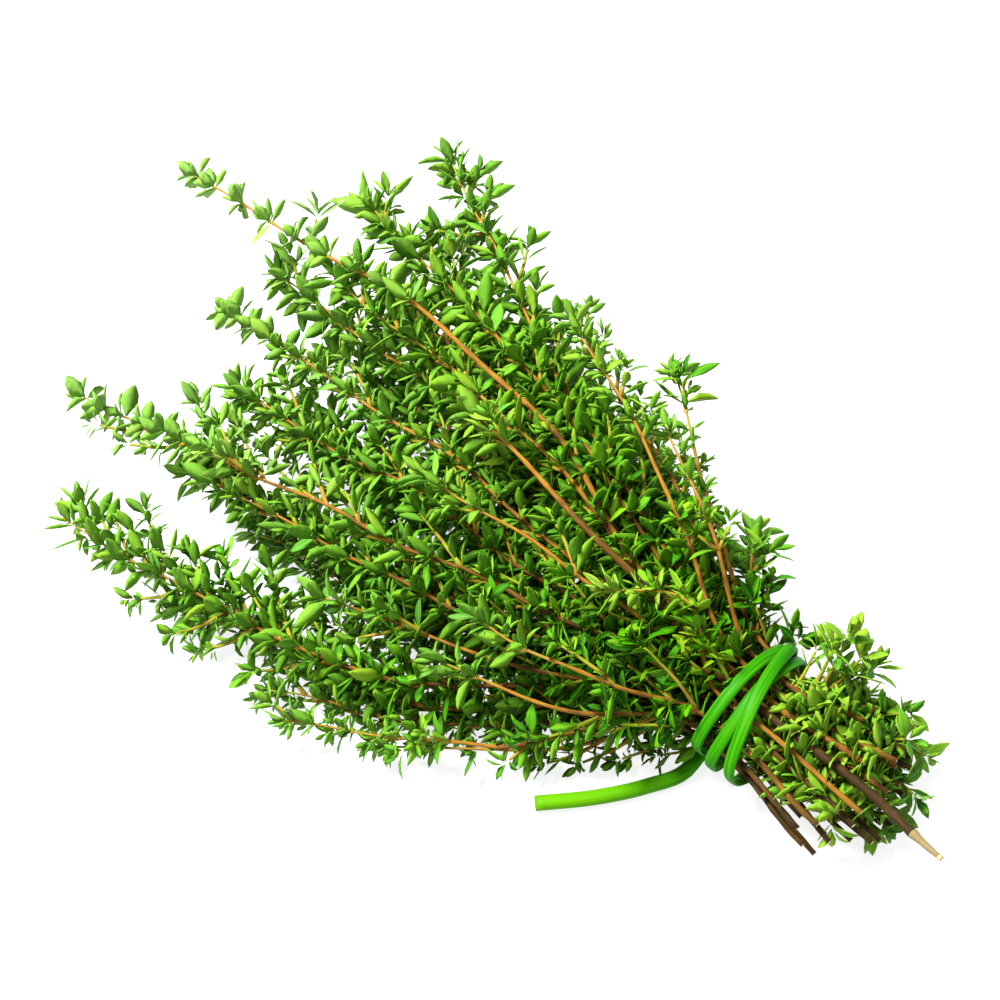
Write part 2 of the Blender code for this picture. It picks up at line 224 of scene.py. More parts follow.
# Side shoots at chosen places: where each starts along its stem, in millimetres from the
# tie's middle towards the tip, where it ends, in millimetres from the spot under the tie,
# and the size of its leaves. Most of the ends aren't chosen by hand: another script worked
# them out from places seen in the picture.
OFFSHOOTS = {
    "high_sprig_2": (
        (95, (-107, -29, 22), 1), (80, (-92, -25, 22), 1), (92, (-104, -21, 24), 1),
        (106, (-117, -28, 22), 1), (117, (-127, -30, 22), 1), (124, (-128, -48, 26), 0.8),
        (133, (-136, -49, 26), 0.7),
    ),
    "inner_sprig_2": (
        (89, (-90, -45, 15), 1), (98, (-98, -50, 16), 1), (105, (-104, -54, 16), 1),
        (98, (-90, -64, 8), 0.9), (105, (-96, -66, 10), 0.9), (115, (-107, -67, 12), 0.8),
        (120, (-117, -54, 18), 0.9), (128, (-123, -58, 17), 0.55), (92, (-87, -47, 14), 1),
    ),
    "low_sprig_1": (
        (3, (-10, -16, 3), 0.8), (8, (-15, -22, 3), 0.8), (16, (-20, -28, 3), 0.8),
        (24, (-25, -33, 3), 0.8),
    ),
    "bottom_sprig_1": (
        (5, (-11, -13, 3), 0.8), (12, (-20, -19, 3), 0.8), (30, (-44, -30, 5), 1),
        (36, (-47, -35, 4), 1),
    ),
    "top_sprig_3": ((133, (-131, 9, 46), 1.3),),
    "high_sprig_6": ((114, (-113, 27, 42), 1),),
    "high_sprig_7": (
        (-8, (7.5, 15, 30), 1.1), (-9, (11, 15, 26), 1.1), (58, (-53, 36, 36), 1.2),
    ),
    "top_sprig_5": ((-8, (6.5, 12, 27), 1.0), (-5, (2.5, 13, 22), 1)),
    "outer_sprig_3": ((106, (-116, -24, 17), 1),),
    "outer_sprig_9": (
        (-8, (13, 17, 23), 1), (-14, (22, 16, 18), 1), (6, (-6, 16, 15), 1),
        (4, (-3, 14.5, 17), 0.9),
    ),
    "inner_sprig_4": ((92, (-111, -20, 10), 1),),
    "inner_sprig_5": (
        (72, (-93, 0, 9), 1), (84, (-107, -7, 9), 1), (95, (-119, -7, 9), 1),
    ),
    "inner_sprig_6": (
        (80, (-99, 5, 9), 1), (90, (-108, 10, 9), 1), (94, (-116, 14, 9), 1),
        (98, (-120, 0, 9), 1), (102, (-122, 9, 10), 1),
    ),
    "low_sprig_2": (
        (56, (-61, -33, 8), 1), (64, (-68, -40, 8), 1), (76, (-83, -43, 8), 1),
        (88, (-79, -60, 8), 0.9),
    ),
    "low_sprig_3": (
        (36, (-52, -28, 6), 1), (44, (-59, -30, 6), 1), (52, (-64, -35, 6), 1),
        (60, (-76, -42, 8), 1), (68, (-84, -34, 7), 1),
    ),
    "low_sprig_4": ((86, (-99, -16, 8), 1),),
    "inner_sprig_9": ((-16, (29, 15, 12), 0.9),),
    "inner_sprig_8": ((-17, (26, 12, 18), 1),),
    "low_sprig_7": ((-16, (32, 9, 8), 0.9),),
    "bottom_sprig_3": ((-22, (31, 1, 5), 0.9),),
}

LEAF_LONG = 7.1 * MM
SMALL_BELOW = 5 * MM  # shorter leaves get the simpler shape
TONE_BEHIND = 0.27  # how much yellower the leaves on the cut ends' side are
PALE_BEHIND = 0.15  # and how pale they are
STEM_SIDES = 8
SHOOT_SIDES = 6
TIE_CLEAR = (7 * MM, 4 * MM)  # nodes nearer to the tie's middle, on its two sides, are plain
WANDER = 0.8 * MM  # how far a stem strays from its smooth route

# ---------------------------------------------------------------- how the tie looks

BAND_WIDE = 2.6 * MM  # of the strand in the winding
BAND_THICK = 0.9 * MM
BAND_STEP = 4  # degrees between the winding's points
BAND_LEFT_OUT = 64  # degrees at the end of its course that aren't wound
BAND_LIFT = 0.45 * MM  # from the held space to the middle of the strand next to it
BAND_LAYER = 1.2  # millimetres from one layer of winding to the next
BAND_DIP = 0.8 * MM  # how much closer it lies at the four shoulders of the tie's oval
# Painted light: over these lengths the strand turns brighter and yellower, the free end lit away
# from the tie.
BAND_PAINTED_LIGHT_OVER = 3000.0  # millimetres over which it turns yellower: too long to show
TAIL_HIGH = 2.9 * MM  # the free end's height. It is TAIL_THICK wide
TAIL_PAINTED_LIGHT_OVER = 34.0  # millimetres over which it turns yellower
TAIL_START = (-5.0, -8.6, 2.6)  # where it starts, hidden, in the terms of TAIL_POINTS


# ---------------------------------------------------------------- where the stems run


def smooth(points, step):
    """Points about a step apart on a smooth curve through the given ones."""
    legs = [b - a for a, b in zip(points, points[1:])]
    slopes = [legs[0].normalized()]
    for before, after in zip(legs, legs[1:]):
        early, late = before.length, after.length
        slopes.append((before / early * late + after / late * early) / (early + late))
    slopes.append(legs[-1].normalized())
    fine = []
    for start, leg, leave, arrive in zip(points, legs, slopes, slopes[1:]):
        count = max(1, round(leg.length / step))
        for i in range(count):
            t = i / count
            turn_out = leave * leg.length * (t - 2 * t**2 + t**3)
            turn_in = arrive * leg.length * (t**3 - t**2)
            fine.append(start + leg * (3 * t**2 - 2 * t**3) + turn_out + turn_in)
    return fine + [points[-1]]


def stem_route(sprig, across, up):
    """A stem's points from its cut end to its tip; across and up are its place in the tie."""
    slot = Vector((0, across, up))
    held = Vector((HELD, 0, 0))
    turn = math.radians(sprig.angle)
    tip = Vector((-math.cos(turn), math.sin(turn), 0)) * sprig.reach * MM
    tip.z = sprig.height * MM - WAIST.z
    half = slot.lerp(tip, 0.5)
    half += Vector((math.sin(turn), math.cos(turn), 0)) * sprig.bow * MM
    half.z = slot.z + 0.6 * (tip.z - slot.z) + sprig.arch * MM
    wider, higher = 1 + FLARE * sprig.cut, 1 + RISE * sprig.cut
    cut = Vector((sprig.cut * MM, slot.y * wider + SAG, slot.z * higher - SAG))
    cut.z = max(cut.z, SAG - WAIST.z)
    return [WAIST + p for p in smooth([cut, slot + held, slot - held, half, tip], STEM_STEP)]


def stem_routes():
    """Every sprig's name and route. The stems fill the tie's oval in level layers."""
    routes = {}
    for level, (layer, sprigs) in enumerate(LAYERS.items()):
        up = (level - (len(LAYERS) - 1) / 2) * LAYER_GAP
        room = (HOLD_Y - STEM_ROOM) * math.sqrt(1 - (up / (HOLD_Z - STEM_ROOM)) ** 2)
        for i, sprig in enumerate(sprigs):
            across = room * (2 * i / (len(sprigs) - 1) - 1)
            routes[f"{layer}_sprig_{i + 1}"] = stem_route(sprig, across, up)
    return routes


class Way:
    """A route that gives its point and directions at any distance along it."""

    def __init__(self, route, across=Vector((0, 1, 0))):
        self.route = route
        self.frames = []
        for i in range(len(route)):
            ahead = (route[min(i + 1, len(route) - 1)] - route[max(i - 1, 0)]).normalized()
            across = (across - ahead * across.dot(ahead)).normalized()
            self.frames.append((ahead, across, ahead.cross(across)))
        self.so_far = [0.0]
        for a, b in zip(route, route[1:]):
            self.so_far.append(self.so_far[-1] + (b - a).length)
        self.length = self.so_far[-1]

    def at(self, distance):
        """The point, and the directions ahead, across and up, at a distance."""
        i = int(np.searchsorted(self.so_far, distance, side="right")) - 1
        i = min(max(i, 0), len(self.route) - 2)
        t = (distance - self.so_far[i]) / (self.so_far[i + 1] - self.so_far[i])
        turned = [a.lerp(b, t) for a, b in zip(self.frames[i], self.frames[i + 1])]
        return self.route[i].lerp(self.route[i + 1], t), *(v.normalized() for v in turned)


def mix(a, b, share):
    return a + (b - a) * min(max(share, 0), 1)


# ---------------------------------------------------------------- what grows on a sprig


class Plant:
    """One sprig's bark, as tubes, and its leaves."""

    def __init__(self, seed, look, behind):
        self.rng = np.random.default_rng(seed)
        self.look, self.behind = look, behind
        self.tubes = []
        self.leaves = []
        self.loose = False  # whether what grows now sticks out of the tie's hold

    def leaf(self, foot, ahead, outward, long, lean, share, broad=0.38):
        """A leaf that leans away from a stem. share is how near it is to the sprig's tip."""
        draw = self.rng.normal(size=8)
        outward = Quaternion(ahead, 0.25 * draw[0]) @ outward
        lean = math.radians(lean + 13 * draw[1])
        along = outward * math.sin(lean) + ahead * math.cos(lean)
        upper = ahead * math.sin(lean) - outward * math.cos(lean)
        upper = Quaternion(along, 0.4 * draw[2]) @ upper
        long = long * (1 + 0.15 * min(max(draw[3], -2), 2))
        wide = long * (broad + 0.03 * draw[4])
        bend = min(max(0.45 + 0.45 * draw[5], -0.4), 1.2)
        fold = 0.16 + 0.14 * draw[6]
        tone = self.look.tone + 0.21 * draw[7]
        # Painted shade: the nearer a leaf is to the tie, where the bundle is thickest, the darker
        # its tone.
        tone += 0.1 * share - self.look.deep * mix(1, 0, share / 0.6) if share > 0 else TONE_BEHIND
        pale = self.look.pale * share**2 if share > 0 else PALE_BEHIND
        self.leaves.append((*foot, *along, *upper, long, wide, bend, fold, tone, pale, self.loose))

    def pair(self, point, ahead, outward, long, lean, share, broad=0.38):
        for side in (outward, -outward):
            self.leaf(point + side * 0.3 * MM, ahead, side, long, lean, share, broad)

    def tuft(self, point, ahead, outward, pairs, long, share):
        """Young leaves packed round a bud. The last pair is the smallest and stands closest."""
        for i in range(pairs):
            left = 1 - i / pairs
            at = point + ahead * (0.4 + 0.75 * i) * MM
            self.pair(at, ahead, outward, long * (0.55 + 0.45 * left), 16 + 36 * left, share, 0.42)
            outward = ahead.cross(outward)

    def fist(self, point, ahead, outward, share):
        """The small round cluster that a node bears near some tips."""
        size = 0.78 * self.look.size * LEAF_LONG
        for i, lean in enumerate((66, 52, 38, 22)):
            at = point + ahead * 0.5 * i * MM
            self.pair(at, ahead, outward, size * (1 - 0.08 * i), lean, share, 0.6)
            outward = ahead.cross(outward)

    def shoot(self, point, ahead, outward, long, share):
        """A side shoot that leaves its stem at an angle and bends towards its direction."""
        steps = max(3, round(long / (1.6 * MM)))
        heading = outward * 0.66 + ahead * (0.75 if share > 0 else -0.6)
        route = [point]
        for _ in range(steps):
            drift = Vector(self.rng.normal(size=3)) * 0.05
            pull = ahead * 0.07 if share > 0 else Vector()
            heading = (heading + pull + drift).normalized()
            route.append(route[-1] + heading * long / steps)
        self.dress(Way(route, ahead.cross(outward)), share, self.look.size)

    def dress(self, way, share, scale):
        """A side shoot's bark and leaves."""
        radii = np.linspace(0.5, 0.27, len(way.route)) * MM
        ages = np.linspace(0.25, 0.0, len(way.route))
        self.tubes.append(Tube(way, radii, ages, SHOOT_SIDES, self.loose))
        distance = 2.2 * MM
        odd = False
        while distance < way.length - 0.8 * MM:
            done = distance / way.length
            at, on, across, up = way.at(distance)
            side = up if odd else across
            size = mix(0.86, 0.7, done) * scale * LEAF_LONG
            self.pair(at, on, side, size, mix(56, 36, done), share)
            if self.rng.random() < 0.5 * self.look.tufts:
                out = side if self.rng.random() < 0.5 else -side
                bud = (on * 0.75 + out * 0.6).normalized()
                around = bud.cross(on).normalized()
                self.tuft(at + out * 0.4 * MM, bud, around, 2, size * 0.62, share)
            odd = not odd
            distance += mix(4.2, 2.7, done) * MM * (1 + 0.12 * self.rng.normal())
        at, on, across, up = way.at(way.length)
        self.tuft(at, on, up if odd else across, 3, 0.78 * scale * LEAF_LONG, share)


class Tube:
    """Bark round a way: its radii, its age from 0, green, to 1, wood, and its sides.
    On a stem the age also holds painted shade, darker near the tie.

    It is peeled to the wood up to a distance from its start.
    """

    def __init__(self, way, radii, ages, sides, loose=False, peeled=0):
        self.way, self.radii, self.ages, self.sides = way, radii, ages, sides
        self.loose, self.peeled = loose, peeled


def grow(plant, way, tie, offshoots):
    """Dresses a stem from its cut end to its tip. tie is the distance of the tie's middle."""
    look, rng = plant.look, plant.rng
    beyond = way.length - tie
    nodes = []
    distance = 3.5 * MM
    phase = rng.random() * math.pi
    odd = False
    waiting = [*np.linspace(-0.8, -0.4, plant.behind.shoots) * tie / beyond]
    waiting += [*np.linspace(0.06, 0.93, look.shoots)]
    while distance < way.length - 4 * MM:
        share = (distance - tie) / beyond
        point, ahead, across, up = way.at(distance)
        outward = Quaternion(ahead, 0.3 * math.sin(phase + 3 * share)) @ (up if odd else across)
        nodes.append(distance)
        bare = any(a < share < b for a, b in look.bare)
        if not bare or (share > 0 and rng.random() < 0.15):
            if abs(distance - tie) < TIE_CLEAR[share > 0]:
                plant.pair(point, ahead, outward, 0.6 * LEAF_LONG, 75, share)
            elif share > look.fists:
                plant.fist(point, ahead, outward, share)
            elif share < 0:
                dress_node(plant, point, ahead, outward, share, waiting, plant.behind.size, 60)
            else:
                size = mix(1, 0.85, (share - 0.55) / 0.45) * look.size
                lean = mix(54, 38, (share - 0.4) / 0.6)
                dress_node(plant, point, ahead, outward, share, waiting, size, lean)
        gap = mix(*(look.gaps if share > 0 else plant.behind.gaps), share)
        distance += gap * MM * (1 + 0.13 * rng.normal())
        odd = not odd
    point, ahead, across, up = way.at(way.length)
    if look.fists < 1:
        plant.fist(point - ahead * 2 * MM, ahead, up if odd else across, 1)
    else:
        size = 0.95 * look.size * LEAF_LONG
        plant.tuft(point - ahead * 4 * MM, ahead, up if odd else across, 4, size, 1)

    plant.loose = True
    for start, end, size in offshoots:
        foot, ahead, across, up = way.at(tie + start * MM)
        end = Vector((WAIST.x, WAIST.y, 0)) + Vector(end) * MM
        half = foot.lerp(end, 0.5) - Vector((0, 0, 1.5 * MM))
        plant.dress(Way(smooth([foot, half, end], 1.6 * MM), across), max(start, 0) / 130, size)

    along = np.array(way.so_far)
    shares = (along - tie) / beyond
    half = np.interp(along, (0, way.length), (STEM_HALF_AT_CUT, STEM_HALF_AT_TIP)) * look.thick
    half *= np.interp(shares, (0.5, 0.95), (1, 0.6))
    for node in nodes:
        half *= 1 + 0.22 * np.exp(-((along - node) / (0.9 * MM)) ** 2)
    age_and_painted_shade = np.interp(shares, (-0.3, 0.1, 0.55, 0.85, 1), (0.72, 0.66, 0.5, 0.3, 0.05))
    age_and_painted_shade *= 0.8 + 0.45 * look.bark
    # Besides a random spread, painted shade: the bark is made darker near the tie, as the leaves
    # are.
    age_and_painted_shade += 0.07 * rng.normal() + 0.5 * look.deep * np.interp(shares, (0, 0.6), (1, 0))
    if look.peeled:
        half *= np.interp(along / MM, (0, look.peeled - 2, look.peeled), (0.55, 0.72, 1))
    plant.tubes.append(Tube(way, half, age_and_painted_shade, STEM_SIDES, peeled=look.peeled * MM))


def dress_node(plant, point, ahead, outward, share, waiting, size, lean):
    """A node's pair of leaves and what grows in their axils. waiting: shares of shoots to come."""
    look, rng = plant.look if share > 0 else plant.behind, plant.rng
    for side in (outward, -outward):
        foot = point + side * 0.5 * MM
        plant.leaf(foot, ahead, side, size * LEAF_LONG, lean, share)
        if waiting and share > waiting[0]:
            waiting.pop(0)
            long = look.shoot * MM * mix(1.2, 0.5, share) * (1 + 0.22 * rng.normal())
            plant.shoot(point, ahead, side, max(long, 5 * MM), share)
        elif rng.random() < look.tufts:
            bud = (ahead * 0.8 + side * 0.6).normalized()
            pairs = int(rng.integers(2, 4))
            plant.tuft(foot, bud, ahead.cross(side), pairs, size * 0.66 * LEAF_LONG, share)


def wander(route, rng):
    """The route with slow random bends, none of them in the tie."""
    strayed = []
    waves = [(rng.uniform(25, 60) * MM, rng.uniform(0, 6.3), rng.uniform(0, 6.3)) for _ in range(3)]
    for point in route:
        free = mix(0, 1, (abs(point.x - WAIST.x) - 8 * MM) / (25 * MM))
        far = (point - WAIST).length * 2 * math.pi
        stray = Vector()
        for long, start, turn in waves:
            stray += Vector((0, math.cos(turn), math.sin(turn))) * math.sin(far / long + start)
        strayed.append(point + stray * free * WANDER / len(waves) ** 0.5)
    return strayed


# ---------------------------------------------------------------- meshes


def settle(points, loose):
    """Presses points into the tie, whose turns hold all but the loose ones, and off the table."""
    rel = points - np.array(WAIST)
    room = 1 + (np.maximum(np.abs(rel[:, 0]) - 4 * MM, 0) / (3.5 * MM)) ** 1.5
    reach = np.hypot(rel[:, 1] / HOLD_Y, rel[:, 2] / HOLD_Z)
    soft = 0.75 * room
    over = np.maximum(reach - soft, 0)
    pressed = np.where(over > 0, soft + (room - soft) * (1 - np.exp(-over / (room - soft))), reach)
    rel[:, 1:] *= np.where(loose, 1, pressed / np.maximum(reach, 1e-9))[:, None]
    points = rel + np.array(WAIST)
    give = 0.8 * MM
    points[:, 2] = give * np.logaddexp(0, points[:, 2] / give)
    return points


def make_mesh(name, points, corners, sizes, layers, colours, materials, slots=None):
    """An object from its points and faces. layers are UV maps by name, a value per corner."""
    mesh = bpy.data.meshes.new(name)
    mesh.vertices.add(len(points))
    mesh.vertices.foreach_set("co", np.asarray(points, np.float32).ravel())
    mesh.loops.add(len(corners))
    mesh.loops.foreach_set("vertex_index", np.asarray(corners, np.int32))
    mesh.polygons.add(len(sizes))
    starts = np.concatenate(([0], np.cumsum(sizes)[:-1]))
    mesh.polygons.foreach_set("loop_start", starts.astype(np.int32))
    if slots is not None:
        mesh.polygons.foreach_set("material_index", np.asarray(slots, np.int32))
    for material in materials:
        mesh.materials.append(material)
    for layer, values in layers.items():
        uv = mesh.uv_layers.new(name=layer)
        uv.data.foreach_set("uv", np.asarray(values, np.float32).ravel())
    for attribute, values in colours.items():
        colour = mesh.color_attributes.new(attribute, "FLOAT_COLOR", "POINT")
        colour.data.foreach_set("color", np.asarray(values, np.float32).ravel())
    mesh.update(calc_edges=True)
    mesh.validate()
    mesh.shade_smooth()
    piece = bpy.data.objects.new(name, mesh)
    bpy.context.scene.collection.objects.link(piece)
    return piece


# A leaf is a row of numbers: its foot, its directions along and upper, and then these.
LONG, WIDE, BEND, FOLD, TONE, PALE, LOOSE = range(9, 16)

# A leaf's shape. across and up: the points of its upper side's cross-section, as shares of its
# half width; under them is a keel. along and wide: where its cross-sections are, and how wide.
Shape = namedtuple("Shape", "across up keel along wide")
FULL_LEAF = Shape(
    across=(-1, -0.56, 0, 0.56, 1), up=(-0.1, 0.08, -0.05, 0.08, -0.1), keel=-0.19,
    along=(0, 0.15, 0.42, 0.7, 0.9), wide=(0.15, 0.42, 1, 0.82, 0.36),
)
SMALL_LEAF = Shape(
    across=(-1, 0, 1), up=(0, -0.05, 0), keel=-0.22, along=(0, 0.4, 0.76), wide=(0.18, 1, 0.7),
)


def leaf_faces(shape):
    """A leaf's faces as lists of (point, u, v), top of the leaf at u 0 to 1, underside 2 to 3."""
    keel = len(shape.across)
    ring = keel + 1
    us = [(x + 1) / 2 for x in shape.across]
    edges = [(k, k + 1, us[k], us[k + 1]) for k in range(keel - 1)]
    edges += [(keel - 1, keel, 2, 2.5), (keel, 0, 2.5, 3)]
    faces = [[(keel, 0.5, 0.02)] + [(k, us[k], 0) for k in reversed(range(keel))]]
    for s, (low, high) in enumerate(zip(shape.along, shape.along[1:])):
        for a, b, ua, ub in edges:
            a, b = ring * s + a, ring * s + b
            faces.append([(a, ua, low), (b, ub, low), (b + ring, ub, high), (a + ring, ua, high)])
    last, tip = ring * (len(shape.along) - 1), ring * len(shape.along)
    for a, b, ua, ub in edges:
        high = shape.along[-1]
        faces.append([(last + a, ua, high), (last + b, ub, high), (tip, (ua + ub) / 2, 1)])
    return faces


def leaf_points(leaves, shape):
    """The points of all leaves: a bent, folded blade each."""
    foot, along, upper = leaves[:, None, 0:3], leaves[:, None, 3:6], leaves[:, None, 6:9]
    long, wide, bend, fold = (leaves[:, k, None, None] for k in (LONG, WIDE, BEND, FOLD))
    bend = np.where(np.abs(bend) < 1e-3, 1e-3, bend)
    side = np.cross(along, upper)
    places = np.array([*shape.along, 1.0])[None, :, None]
    turn = bend * places
    spine = foot + long / bend * (along * np.sin(turn) - upper * (1 - np.cos(turn)))
    normal = upper * np.cos(turn) + along * np.sin(turn)
    width = np.array(shape.wide)[None, :, None, None] * wide[..., None] / 2
    x = np.array([*shape.across, 0])[None, None, :, None] * width
    y = np.array([*shape.up, shape.keel])[None, None, :, None] * width
    y = y + np.abs(x) * np.tan(fold)[..., None]
    rings = spine[:, :-1, None] + x * side[:, :, None] + y * normal[:, :-1, None]
    return np.concatenate((rings.reshape(len(leaves), -1, 3), spine[:, -1:]), axis=1)


def make_leaves(name, leaves, material):
    """All leaves of a sprig as one piece. Each has a cell of its own in the map for baking."""
    leaves = np.array(leaves)
    small = leaves[:, LONG] < SMALL_BELOW
    grid = math.ceil(math.sqrt(len(leaves)))
    points, corners, sizes, shade, bake, tints, loose = [], [], [], [], [], [], []
    count, cell = 0, 0
    for group, shape in ((leaves[~small], FULL_LEAF), (leaves[small], SMALL_LEAF)):
        if not len(group):
            continue
        faces = leaf_faces(shape)
        flat = np.array([corner for face in faces for corner in face])
        made = leaf_points(group, shape)
        per_leaf = made.shape[1]
        base = count + np.arange(len(group)) * per_leaf
        corners.append((base[:, None] + flat[None, :, 0].astype(int)).ravel())
        sizes.append(np.tile([len(face) for face in faces], len(group)))
        shade.append(np.tile(flat[:, 1:], (len(group), 1)))
        numbers = cell + np.arange(len(group))
        u = np.where(flat[:, 1] < 1.5, 0.04 + 0.44 * flat[:, 1], 0.52 + 0.44 * (flat[:, 1] - 2))
        v = 0.05 + 0.9 * flat[:, 2]
        cells = np.stack((numbers % grid, numbers // grid), axis=1)
        bake.append(((cells[:, None] + np.stack((u, v), axis=1)[None]) / grid).reshape(-1, 2))
        empty = np.zeros(len(group))
        tint = np.stack((group[:, TONE], group[:, PALE], empty, empty + 1), axis=1)
        tints.append(np.repeat(tint, per_leaf, axis=0))
        points.append(made.reshape(-1, 3))
        loose.append(np.repeat(group[:, LOOSE], per_leaf))
        count += made.shape[0] * per_leaf
        cell += len(group)
    return make_mesh(
        name, settle(np.concatenate(points), np.concatenate(loose)), np.concatenate(corners),
        np.concatenate(sizes),
        {"Leaf": np.concatenate(shade), "OFBake": np.concatenate(bake)},
        {"tint": np.concatenate(tints)}, [material],
    )


def tube_rings(tube):
    """The rings of a tube, round with four soft corners."""
    turns = np.arange(tube.sides) / tube.sides * 2 * math.pi + math.pi / tube.sides
    square = 0.06 if tube.sides == STEM_SIDES else 0
    corner = 1 + square * np.cos(4 * turns - math.pi)
    route = np.array([tuple(p) for p in tube.way.route])
    across = np.array([tuple(f[1]) for f in tube.way.frames])
    up = np.array([tuple(f[2]) for f in tube.way.frames])
    ring = np.cos(turns)[None, :, None] * across[:, None]
    ring = ring + np.sin(turns)[None, :, None] * up[:, None]
    return route[:, None] + ring * (tube.radii[:, None] * corner[None])[..., None]


def quad(i, k, sides):
    """A tube face's corners: the ring, the side, and how many sides round it lies in the map."""
    after = (k + 1) % sides
    return (i, k, k), (i, after, k + 1), (i + 1, after, k + 1), (i + 1, k, k)


def make_stem(name, tubes, materials):
    """The bark of a sprig, its stem and its side shoots, as one piece."""
    per_cell = 8  # steps of a tube in a cell of the map for baking
    chunks = [math.ceil((len(t.way.route) - 1) / per_cell) for t in tubes]
    grid = math.ceil(math.sqrt(sum(chunks) + len(tubes)))
    points, corners, sizes, shade, bake, tints, slots = [], [], [], [], [], [], []
    count, cell = 0, 0
    for tube, used in zip(tubes, chunks):
        rings = tube_rings(tube)
        if tube.sides < STEM_SIDES:
            rings = settle(rings.reshape(-1, 3), tube.loose).reshape(rings.shape)
        number, sides = rings.shape[:2]
        points.append(rings.reshape(-1, 3))
        tint = np.zeros((number, sides, 4))
        tint[..., 0] = tube.ages[:, None]
        tints.append(tint.reshape(-1, 4))
        for i in range(number - 1):
            y, x = divmod(cell + i // per_cell, grid)
            for k in range(sides):
                for ring, side, across in quad(i, k, sides):
                    corners.append(count + ring * sides + side)
                    shade.append((across / sides, tube.way.so_far[ring] / MM))
                    u = 0.05 + 0.9 * across / sides
                    v = 0.05 + 0.9 * (ring - i + i % per_cell) / per_cell
                    bake.append(((x + u) / grid, (y + v) / grid))
                sizes.append(4)
                slots.append(1 if tube.way.so_far[i] < tube.peeled else 0)
        cell += used
        y, x = divmod(cell, grid)
        last = (number - 1) * sides
        for end, ring in ((0.27, range(sides)[::-1]), (0.73, range(last, last + sides))):
            for k, at in enumerate(ring):
                turn = 2 * math.pi * k / sides
                u, v = math.cos(turn), math.sin(turn)
                corners.append(count + at)
                shade.append((0.5 + 0.5 * u, 0.5 + 0.5 * v))
                bake.append(((x + end + 0.2 * u) / grid, (y + 0.5 + 0.2 * v) / grid))
            sizes.append(sides)
            slots.append(1 if end < 0.5 else 0)
        cell += 1
        count += number * sides
    return make_mesh(
        name, np.concatenate(points), corners, sizes,
        {"Bark": shade, "OFBake": bake}, {"tint": np.concatenate(tints)}, materials, slots,
    )


# ---------------------------------------------------------------- materials


class Nodes:
    """Short ways to add nodes to a material."""

    def __init__(self, name, roughness):
        self.material = bpy.data.materials.new(name)
        self.material.use_nodes = True
        self.tree = self.material.node_tree
        self.shader = self.tree.nodes["Principled BSDF"]
        self.shader.inputs["Roughness"].default_value = roughness

    def link(self, out, into):
        self.tree.links.new(out, into)

    def add(self, kind, **settings):
        node = self.tree.nodes.new(kind)
        for key, value in settings.items():
            setattr(node, key, value)
        return node

    def feed(self, socket, value):
        if hasattr(value, "is_linked"):
            self.link(value, socket)
        else:
            socket.default_value = value

    def uv(self, layer):
        node = self.add("ShaderNodeUVMap", uv_map=layer)
        split = self.add("ShaderNodeSeparateXYZ")
        self.link(node.outputs[0], split.inputs[0])
        return node.outputs[0], split.outputs[0], split.outputs[1]

    def tint(self):
        node = self.add("ShaderNodeAttribute", attribute_name="tint")
        split = self.add("ShaderNodeSeparateColor")
        self.link(node.outputs["Color"], split.inputs[0])
        return split.outputs

    def math(self, operation, a, b=0.0, clamp=False):
        node = self.add("ShaderNodeMath", operation=operation, use_clamp=clamp)
        self.feed(node.inputs[0], a)
        self.feed(node.inputs[1], b)
        return node.outputs[0]

    def band(self, value, low, high, at_low=0.0, at_high=1.0):
        """A smooth step of a value."""
        node = self.add("ShaderNodeMapRange", interpolation_type="SMOOTHSTEP")
        for socket, given in zip(node.inputs, (value, low, high, at_low, at_high)):
            self.feed(socket, given)
        return node.outputs[0]

    def noise(self, scale, detail=2.0, vector=None):
        node = self.add("ShaderNodeTexNoise")
        node.inputs["Scale"].default_value = scale
        node.inputs["Detail"].default_value = detail
        if vector is None:
            vector = self.add("ShaderNodeTexCoord").outputs["Object"]
        self.link(vector, node.inputs["Vector"])
        return node.outputs["Fac"]

    def ramp(self, value, stops):
        node = self.add("ShaderNodeValToRGB")
        elements = node.color_ramp.elements
        while len(elements) < len(stops):
            elements.new(0.5)
        for element, (place, colour) in zip(elements, stops):
            element.position = place
            element.color = (*colour, 1)
        self.link(value, node.inputs[0])
        return node.outputs[0]

    def blend(self, share, a, b):
        node = self.add("ShaderNodeMix", data_type="RGBA")
        self.feed(node.inputs["Factor"], share)
        for socket, value in ((node.inputs[6], a), (node.inputs[7], b)):
            self.feed(socket, (*value, 1) if isinstance(value, tuple) else value)
        return node.outputs[2]

    def bump(self, height, strength, distance):
        node = self.add("ShaderNodeBump")
        node.inputs["Strength"].default_value = strength
        node.inputs["Distance"].default_value = distance
        self.link(height, node.inputs["Height"])
        self.link(node.outputs[0], self.shader.inputs["Normal"])


